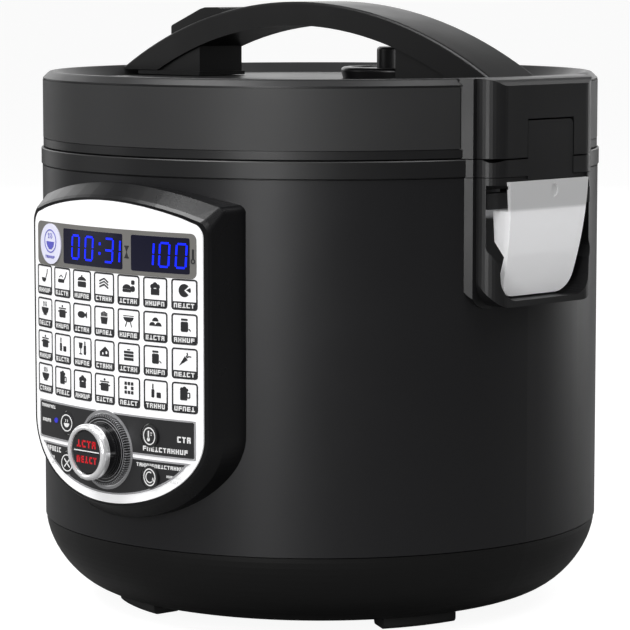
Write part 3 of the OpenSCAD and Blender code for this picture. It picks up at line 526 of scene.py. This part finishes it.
join(inlet.outputs["Bow radius"], r_square.inputs[0])
join(inlet.outputs["Bow radius"], r_square.inputs[1])
join(r_square.outputs[0], rest.inputs[0])
join(x_square.outputs[0], rest.inputs[1])
join(rest.outputs[0], root.inputs[0])
join(inlet.outputs["Bow radius"], sag.inputs[0])
join(root.outputs[0], sag.inputs[1])
join(sag.outputs[0], offset.inputs["Y"])
join(real.outputs["Geometry"], bend.inputs["Geometry"])
join(offset.outputs["Vector"], bend.inputs["Offset"])
join(bend.outputs["Geometry"], ink.inputs["Geometry"])
join(inlet.outputs["Ink"], ink.inputs["Material"])
join(ink.outputs["Geometry"], outlet.inputs["Fields"])


def baked(name, source, tree, values):
    """Runs a node tree on a source object once and returns the result as a plain mesh object."""
    modifier = source.modifiers.new("repeat", "NODES")
    modifier.node_group = tree
    for label, value in values.items():
        socket = next(s for s in tree.interface.items_tree if s.name == label and s.in_out == "INPUT")
        modifier[socket.identifier] = value
    view = bpy.context.evaluated_depsgraph_get()
    mesh = bpy.data.meshes.new_from_object(source.evaluated_get(view))
    mesh.name = name
    bpy.data.objects.remove(source)
    piece = bpy.data.objects.new(name, mesh)
    bpy.context.scene.collection.objects.link(piece)
    return piece


one_field = thin_sheet("one_field", field_shapes, 0.15, 0.3, dark_ink, upright, 3.0)
fields = baked("programme_fields", one_field, grid_tree,
               {"Columns": field_columns, "Rows": field_rows,
                "Width": field_pitch * (field_columns - 1) / 1000,
                "Height": field_rise * (field_rows - 1) / 1000, "Bow radius": bow_radius / 1000,
                "Ink": dark_ink})
fields.data.transform(Matrix.Translation(Vector((bow_middle[0], bow_middle[1] - bow_radius,
                                                 field_low + field_rise * (field_rows - 1) / 2)) / 1000))
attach(fields, "base")
print("fields:", field_columns * field_rows, "triangles:", len(fields.data.polygons))

# %% [markdown]
# ## Pictograms
# Twenty-one designs fill the fields: each carries a small sign for a kind of dish. They are generic: a
# pot, a bowl, a loaf, a jar and so on, made of discs, bars and strokes a few millimetres across. Below
# each sign, letter-like marks of upright and level bars stand in for a word, so the label looks printed
# without saying anything.

# %% the signs
steam = [stroke([(x - 0.3, 1.2), (x + 0.3, 2.0), (x - 0.3, 2.8), (x + 0.2, 3.5)], 0.45)
         for x in (-1.4, 0, 1.4)]
signs = {
    "pot": [tile(-2.9, -3.0, 2.9, 0.9, 0.8), block(-3.4, 1.3, 3.4, 1.9), disc(0, 2.7, 0.6, 12),
            block(-4.0, -0.4, -3.1, 0.3), block(3.1, -0.4, 4.0, 0.3)],
    "bowl": [sector(0, 0.6, 3.6, 180, 360), block(-1.6, -3.3, 1.6, -2.8)] + steam,
    "pan": [tile(-3.8, -2.2, 1.8, -0.4, 0.6), stroke([(1.6, -0.9), (3.0, 0.9), (4.2, 3.4)], 0.6),
            stroke([(-2.6, 0.5), (-1.0, 1.6), (0.6, 0.6)], 0.5)],
    "casserole": [tile(-3.4, -3.0, 3.4, -0.2, 0.7), sector(0, 0.3, 3.4, 0, 180, 14, 0.55),
                  block(-0.5, 2.1, 0.5, 3.0)],
    "loaf": [sector(-1.0, -1.4, 2.9, 0, 180, 14, 0.8), tile(-3.9, -3.0, 1.9, -1.5, 0.5),
             disc(3.0, -1.2, 1.5, 16), tile(2.0, 0.9, 4.2, 3.0, 0.6)],
    "cake": [tile(-2.6, -3.2, 2.6, -0.2, 0.4), disc(-1.7, 0.9, 1.25, 14), disc(0, 1.7, 1.4, 14),
             disc(1.7, 0.9, 1.25, 14)],
    "slices": [stroke([(-3.4, 1.2), (0.2, 2.6), (3.2, 0.8)], 0.8),
               stroke([(-3.4, -0.2), (0.2, 1.1), (3.2, -0.6)], 0.7),
               stroke([(-3.4, -1.7), (0.2, -0.4), (3.2, -2.1)], 0.9)],
    "dumplings": [sector(-1.8, -1.6, 1.9, 0, 180, 10), sector(2.0, -1.6, 1.9, 0, 180, 10),
                  sector(0.1, 0.7, 1.9, 0, 180, 10)],
    "fish": [disc(-0.6, 0, 3.1, 20, 0.55), [[(2.0, 0), (4.0, 1.7), (4.0, -1.7)]]],
    "fries": [[[(-2.0, -3.2), (2.0, -3.2), (2.7, 0.2), (-2.7, 0.2)]]]
    + [block(x - 0.35, 0.6, x + 0.35, 3.2 - abs(x) * 0.4) for x in (-2.0, -1.0, 0, 1.0, 2.0)],
    "grill": [sector(0, 1.4, 3.4, 180, 360, 14, 0.7), stroke([(-1.2, -0.9), (-2.2, -3.4)], 0.5),
              stroke([(1.2, -0.9), (2.2, -3.4)], 0.5), block(-3.6, 1.9, 3.6, 2.3)],
    "pie": [sector(0, 0, 3.2, 40, 320, 20), sector(1.1, 0.2, 2.6, -28, 28, 6)],
    "jar": [tile(-2.1, -3.3, 2.1, 1.6, 0.8), block(-1.8, 2.1, 1.8, 3.1),
            stroke([(2.5, -1.8), (3.6, -2.8)], 0.5)],
    "bottle": [tile(-2.6, -3.3, -0.8, 0.8, 0.5), block(-2.1, 1.0, -1.3, 3.4),
               tile(0.6, -3.3, 3.2, -0.6, 0.4)],
    "cheese": [[[(-3.4, -2.6), (3.4, -2.6), (3.4, 0.2), (0.6, 2.4), (-3.4, -0.4)]]
               + disc(-1.2, -1.2, 0.7, 10) + disc(1.5, -0.6, 0.8, 10)],
    "steamer": [block(-3.2, -3.2, 3.2, -1.8), block(-3.2, -1.4, 3.2, -0.1), block(-3.2, 0.3, 3.2, 1.5),
                block(-1.0, 1.9, 1.0, 2.5)],
    "carrot": [[[(-3.2, -3.2), (1.8, -0.2), (0.2, 1.6)]],
               stroke([(1.2, 0.9), (2.6, 1.6), (3.8, 1.4)], 0.6),
               stroke([(1.0, 1.2), (1.7, 2.4), (1.4, 3.4)], 0.6)],
    "ladle": [sector(-0.8, -1.0, 2.2, 180, 360), stroke([(1.1, -0.9), (2.4, 1.4), (2.8, 3.4)], 0.6)],
    "grid": [block(x - 0.8, z - 0.8, x + 0.8, z + 0.8) for x in (-2.2, 0, 2.2)
             for z in (-2.2, 0, 2.2) if x or z],
    "glass": [[[(-3.0, 2.6), (0.2, 2.6), (-0.3, -0.2), (-2.5, -0.2)]], block(-1.65, -2.8, -1.15, -0.1),
              block(-2.6, -3.3, -0.2, -2.8), tile(1.2, -3.3, 3.0, 1.4, 0.5), block(1.7, 1.5, 2.5, 3.4)],
    "mug": [tile(-2.6, -3.2, 1.4, 1.6, 0.5), frame_of(1.0, -2.2, 3.2, 0.8, 0.7, 0.6),
            disc(-1.7, 2.1, 1.0, 12), disc(-0.1, 2.5, 1.1, 12), disc(1.2, 1.9, 0.8, 12)],
}
order = ["ladle", "pan", "casserole", "slices", "loaf", "cake", "pie",
         "bowl", "pot", "fish", "fries", "grill", "dumplings", "jar",
         "pot", "bottle", "glass", "cheese", "steamer", "jar", "carrot",
         "bowl", "mug", "cake", "pot", "grid", "bottle", "mug"]


def word(x, z, widths, tall):
    """A row of letter-like marks built from upright and level bars. They spell nothing."""
    shapes, start, bar = [], x, tall * 0.24
    for index, width in enumerate(widths):
        bars = {"L": block(start, z, start + bar, z + tall),
                "R": block(start + width - bar, z, start + width, z + tall),
                "C": block(start + (width - bar) / 2, z, start + (width + bar) / 2, z + tall),
                "T": block(start, z + tall - bar, start + width, z + tall),
                "B": block(start, z, start + width, z + bar),
                "M": block(start, z + (tall - bar) / 2, start + width, z + (tall + bar) / 2)}
        shapes += [bars[key] for key in letter_bars[(index * 3 + int(abs(x) * 7 + z)) % len(letter_bars)]]
        start += width + tall * 0.26
    return shapes


letter_bars = ["LRM", "LTB", "LRT", "LMR", "CT", "LTMB", "LRB", "LRTM", "CB", "LTM"]
drawn, words = [], []
for index, sign in enumerate(order):
    column, row = index % field_columns, index // field_columns
    x = (column - 3) * field_pitch
    z = field_low + field_rise * (field_rows - 1 - row)
    drawn += moved(signs[sign], x, z + 1.9, 0.92)
    letters = 3 + (index * 5 + 2) % 5
    size = min(1.7, 11.5 / letters - 0.55)
    words += word(x - (letters * (size + 0.55) - 0.55) / 2, z - 5.9, [size] * letters, 2.1)
print_on("pictograms", drawn, 0.15, dark_ink)
print_on("label_words", words, 0.32, white_ink, depth=0.4)

# %% [markdown]
# ## Round the dial
# Two dark fields lie left, right and below the dial, each with a pale grey edge. Four round keys sit in
# them, marked by a white hoop and a sign: keep warm, cancel, temperature and time, and delayed start.
# The words beside them are letter-like marks again. A grey ring frames the dial's foot.

# %% edges, key marks and words
dial_height = 86.2
key_marks = {"warm_key": (-28.6, 95.3), "cancel_key": (-28.6, 76.6), "temperature_key": (28.6, 95.3),
             "delay_key": (28.6, 76.6)}
key_front = 144.615


def on_key(x, z, out):
    return Vector((bow_middle[0] + x, -key_front - out, z)) / 1000


gap = 18.4
edge_paths = []
for side in (-1, 1):
    edge_paths.append([(side * gap, 86.6), (side * 53.3, 86.6), (side * 53.3, 103.6),
                       (side * math.sqrt(gap ** 2 - 17.4 ** 2), 103.6)])
rim = [(53.3 * math.cos(math.radians(a)), 96 + 29.6 * math.sin(math.radians(a)))
       for a in range(-20, -161, -5)]
edge_paths.append([(gap - 0.1, 84.3), (50.6, 84.3)] + rim[1:-1] + [(-50.6, 84.3), (0.1 - gap, 84.3)])
fine_paths = []
for path_points in edge_paths:
    fine = []
    for (x0, z0), (x1, z1) in zip(path_points, path_points[1:]):
        steps = max(1, int(math.hypot(x1 - x0, z1 - z0) / 3))
        fine += [(x0 + (x1 - x0) * i / steps, z0 + (z1 - z0) * i / steps) for i in range(steps)]
    fine_paths.append(stroke(fine + [path_points[-1]], 0.8))
print_on("field_edges", fine_paths, 0.22, grey_ink)
bezel_ring = finish("dial bezel", (0.36, 0.36, 0.37), 0.3, grain_mm=0.5, depth_mm=0.003, metallic=0.6,
                    drift=0.04)
print_on("dial_bezel", [hoop(0, dial_height, 18.2, 1.35, 72)], 0.28, bezel_ring,
         depth=0.5)
for name, (x, z) in key_marks.items():
    ring = [hoop(x, z, 4.0, 0.5, 32)]
    if name == "warm_key":
        ring += moved([sector(0, 0.2, 1.9, 180, 360, 10),
                       stroke([(-0.8, 0.7), (-0.5, 1.3), (-0.8, 2.0)], 0.35),
                       stroke([(0.5, 0.7), (0.8, 1.3), (0.5, 2.0)], 0.35)], x, z - 0.3)
    elif name == "cancel_key":
        ring += moved([stroke([(-1.9, -1.9), (1.9, 1.9)], 0.55),
                       stroke([(-1.9, 1.9), (-0.3, 0.3)], 0.55),
                       stroke([(0.3, -0.3), (1.9, -1.9)], 0.55)], x, z)
    elif name == "temperature_key":
        ring += moved([tile(-0.9, -1.2, -0.1, 2.4, 0.38), disc(-0.5, -1.5, 0.95, 14),
                       stroke([(0.9, 1.6), (2.0, 1.6)], 0.35), stroke([(0.9, 0.6), (1.7, 0.6)], 0.35)],
                       x, z)
    else:
        arc = [(2.4 * math.cos(math.radians(a)), 2.4 * math.sin(math.radians(a)))
               for a in range(60, 341, 20)]
        ring += moved([stroke(arc, 0.5), [[(1.4, -1.9), (3.2, -1.5), (2.3, 0.3)]]], x, z)
    print_on("mark_" + name, ring, 0.12, white_ink, body=name, place=on_key,
             depth=0.2, strip=0)

key_words = (word(-52.0, 100.6, [1.1] * 9, 1.5) + word(-51.0, 93.8, [1.2] * 5, 1.6)
             + word(-46.5, 80.6, [1.5] * 6, 2.4) + word(-44.5, 77.4, [0.9] * 4, 1.1)
             + word(-42.5, 74.8, [0.9] * 3, 1.1) + word(44.0, 93.8, [1.9] * 3, 2.7)
             + word(24.5, 88.4, [1.75] * 11, 2.2) + word(20.5, 81.0, [1.35] * 15, 1.7)
             + word(38.0, 77.2, [0.9] * 7, 1.1) + word(40.0, 75.0, [0.9] * 4, 1.1))
print_on("key_words", key_words, 0.2, white_ink)

# %% [markdown]
# ## The lit clock
# The two smoked windows show thin blue figures made of seven strokes each, as on a digital display. The
# figures lean a little to the right. They are the only bright thing on the panel besides the red signs
# on the dial.

# %% figures
def figure(x, z, height, strokes_on, width=0.85, slant=0.07):
    w, h = height * 0.5, height / 2
    ends = {"a": ((0.5, 2 * h), (w - 0.5, 2 * h)), "b": ((w, 2 * h - 0.5), (w, h + 0.4)),
            "c": ((w, h - 0.4), (w, 0.5)), "d": ((0.5, 0), (w - 0.5, 0)),
            "e": ((0, 0.5), (0, h - 0.4)), "f": ((0, h + 0.4), (0, 2 * h - 0.5)),
            "g": ((0.5, h), (w - 0.5, h))}
    shapes = []
    for key in strokes_on:
        (xa, za), (xb, zb) = ends[key]
        shapes.append(stroke([(x + xa + slant * za, z + za), (x + xb + slant * zb, z + zb)], width))
    return shapes


lit = {"0": "abcdef", "1": "bc", "3": "abgcd"}
clock = []
for mark, x in (("0", -23.5), ("0", -13.3), ("3", 0.6), ("1", 5.2)):
    clock += figure(x, 172.2, 10.6, lit[mark])
clock += [block(-3.2, 175.2, -2.1, 176.4), block(-3.0, 179.6, -1.9, 180.8)]
for mark, x in (("1", 25.6), ("0", 34.4), ("0", 43.6)):
    clock += figure(x, 172.2, 10.6, lit[mark])
display_blue = glow("display blue", (0.0, 0.012, 1.0), 1.0)
print_on("clock_figures", clock, 0.3, display_blue)

signs_beside = moved([stroke([(-1.4, 2.6), (1.4, 2.6)], 0.45), stroke([(-1.4, -2.6), (1.4, -2.6)], 0.45),
                      [[(-1.1, 2.4), (1.1, 2.4), (0, 0)]], [[(-1.1, -2.4), (1.1, -2.4), (0, 0)]]], 15.15,
                      177.6)
signs_beside += moved([tile(-0.45, -1.4, 0.45, 3.2, 0.4), hoop(0, -2.2, 1.15, 0.5, 18)], 52.7, 177.6)
print_on("display_signs", signs_beside, 0.25, dark_ink)

# %% [markdown]
# ## The badge and the dial's signs
# A pale round badge carries a blue bowl with steam, a plain kitchen sign. On the dial's black face a
# white line parts the two keys. Each key carries a row of red letter-like marks, as if lit from behind.

# %% badge, split line and red signs
badge_shapes = moved([hoop(0, 0, 5.2, 0.5, 36), sector(0, -0.2, 3.3, 180, 360, 16),
                      block(-1.4, -3.6, 1.4, -3.1)] + steam,
                     -41.5, 178.8, 1.05)
badge_shapes += word(-46.2, 170.8, [1.1, 1.1, 1.2, 1.1, 1.1, 1.2], 1.3)
print_on("badge_sign", badge_shapes, 0.72, blue_ink, depth=0.25)
dial_front = 157.2


def on_dial(x, z, out):
    return Vector((bow_middle[0] + x, -dial_front - out, dial_height + z)) / 1000


lit_red = glow("lit red", (0.42, 0.008, 0.014), 0.5)
print_on("menu_sign", word(-6.6, 2.0, [2.6] * 4, 3.3), 0.1, lit_red, body="menu_key",
         place=on_dial, depth=0.15, strip=0)
print_on("start_sign", word(-6.8, -5.1, [2.05] * 5, 3.2), 0.1, lit_red, body="start_key",
         place=on_dial, depth=0.15, strip=0)
print_on("split_line", [block(-8.6, 0.22, 8.6, 0.7)], 0.1, white_ink, body="menu_key",
         place=on_dial, depth=0.15, strip=0)

# %% [markdown]
# ## Grip ribs round the dial's foot
# A dial is turned with wet fingers, so its foot has fine ribs. One rib is a thin closed bar; Geometry
# Nodes sets copies of it on a circle. The number of ribs and the circle's radius are inputs.

# %% ribs by Geometry Nodes
rib_tree = bpy.data.node_groups.new("ribs on a circle", "GeometryNodeTree")
for label, kind in (("Rib", "NodeSocketGeometry"), ("Count", "NodeSocketInt"),
                    ("Radius", "NodeSocketFloat"), ("Finish", "NodeSocketMaterial")):
    rib_tree.interface.new_socket(label, in_out="INPUT", socket_type=kind)
rib_tree.interface.new_socket("Ribs", in_out="OUTPUT", socket_type="NodeSocketGeometry")
inlet = add(rib_tree, "NodeGroupInput")
outlet = add(rib_tree, "NodeGroupOutput")
circle = add(rib_tree, "GeometryNodeMeshCircle")
copies = add(rib_tree, "GeometryNodeInstanceOnPoints")
index = add(rib_tree, "GeometryNodeInputIndex")
step = add(rib_tree, "ShaderNodeMath", operation="DIVIDE")
full = add(rib_tree, "ShaderNodeMath", operation="MULTIPLY")
full.inputs[1].default_value = 2 * math.pi
spin = add(rib_tree, "ShaderNodeCombineXYZ")
real = add(rib_tree, "GeometryNodeRealizeInstances")
coat = add(rib_tree, "GeometryNodeSetMaterial")
join = rib_tree.links.new
join(inlet.outputs["Count"], circle.inputs["Vertices"])
join(inlet.outputs["Radius"], circle.inputs["Radius"])
join(circle.outputs["Mesh"], copies.inputs["Points"])
join(inlet.outputs["Rib"], copies.inputs["Instance"])
join(index.outputs[0], step.inputs[0])
join(inlet.outputs["Count"], step.inputs[1])
join(step.outputs[0], full.inputs[0])
join(full.outputs[0], spin.inputs["Z"])
join(spin.outputs["Vector"], copies.inputs["Rotation"])
join(copies.outputs["Instances"], real.inputs["Geometry"])
join(real.outputs["Geometry"], coat.inputs["Geometry"])
join(inlet.outputs["Finish"], coat.inputs["Material"])
join(coat.outputs["Geometry"], outlet.inputs["Ribs"])


def flat_bar(name, x0, x1, half, z0, z1, material):
    corners = [(x0, -half, z0), (x1, -half * 0.6, z0), (x1, half * 0.6, z0), (x0, half, z0),
               (x0, -half, z1), (x1, -half * 0.6, z1), (x1, half * 0.6, z1), (x0, half, z1)]
    mesh = bpy.data.meshes.new(name)
    mesh.from_pydata([Vector(c) / 1000 for c in corners], [],
                     [(0, 3, 2, 1), (4, 5, 6, 7), (0, 1, 5, 4), (1, 2, 6, 5), (2, 3, 7, 6), (3, 0, 4, 7)])
    mesh.materials.append(material)
    piece = bpy.data.objects.new(name, mesh)
    bpy.context.scene.collection.objects.link(piece)
    return piece


def ribs(name, body, bar, count, radius_mm, material, matrix):
    piece = baked(name, bar, rib_tree, {"Count": count, "Radius": radius_mm / 1000, "Finish": material})
    piece.data.transform(matrix)
    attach(piece, body)
    print(name, count, "ribs,", len(piece.data.polygons), "faces")
    return piece


to_dial = (Matrix.Translation(Vector((bow_middle[0], 0, dial_height)) / 1000)
           @ Matrix.Rotation(math.radians(90), 4, "X"))
ribs("foot_ribs", "dial", flat_bar("rib", -0.8, 0.2, 0.3, 143.4, 147.9, bezel_ring), 84, 16.2,
     bezel_ring, to_dial)
foot_front = 147.6


def on_foot(x, z, out):
    return Vector((bow_middle[0] + x, -foot_front - out, dial_height + z)) / 1000


print_on("foot_lines", [hoop(0, 0, 14.6, 0.3, 72), hoop(0, 0, 13.2, 0.2, 72)], 0.1, grey_ink,
         body="dial", place=on_foot, depth=0.2, strip=0)

# %% [markdown]
# ## Marks inside the pot and a plate underneath
# With the lid open the pot shows its filling scale: short and long marks, one every 10 mm, wrapped on
# the wall. They are drawn flat and rolled to the wall's radius. Underneath, a blank data plate carries
# only ruled lines.

# %% filling scale and data plate
pot_wall = 109.2
scale_turn = math.radians(120)
underside = 6.0


def on_pot(x, z, out):
    turn_by = scale_turn - x / pot_wall
    return Vector(((pot_wall - out) * math.cos(turn_by), (pot_wall - out) * math.sin(turn_by), z)) / 1000


def on_underside(x, y, out):
    return Vector((-x, y, underside - out)) / 1000


scale_marks = [block(-2, z - 0.35, 9 if z % 20 else 13, z + 0.35)
               for z in range(90, 191, 10)] + [block(-3, 86, -2.2, 194)]
print_on("pot_scale", scale_marks, 0.12, grey_ink, place=on_pot, depth=0.25)
plate_ink = finish("data plate", (0.5, 0.5, 0.51), 0.35, grain_mm=0.4, depth_mm=0.002, metallic=0.5,
                   drift=0.04)
print_on("data_plate", [tile(-30, -17, 30, 17, 2.5)], 0.12, plate_ink,
         place=on_underside, depth=0.2, strip=0)
print_on("data_rules", [block(-26, y, 26, y + 0.4) for y in range(-12, 13, 4)], 0.22, dark_ink,
         place=on_underside, depth=0.2, strip=0)
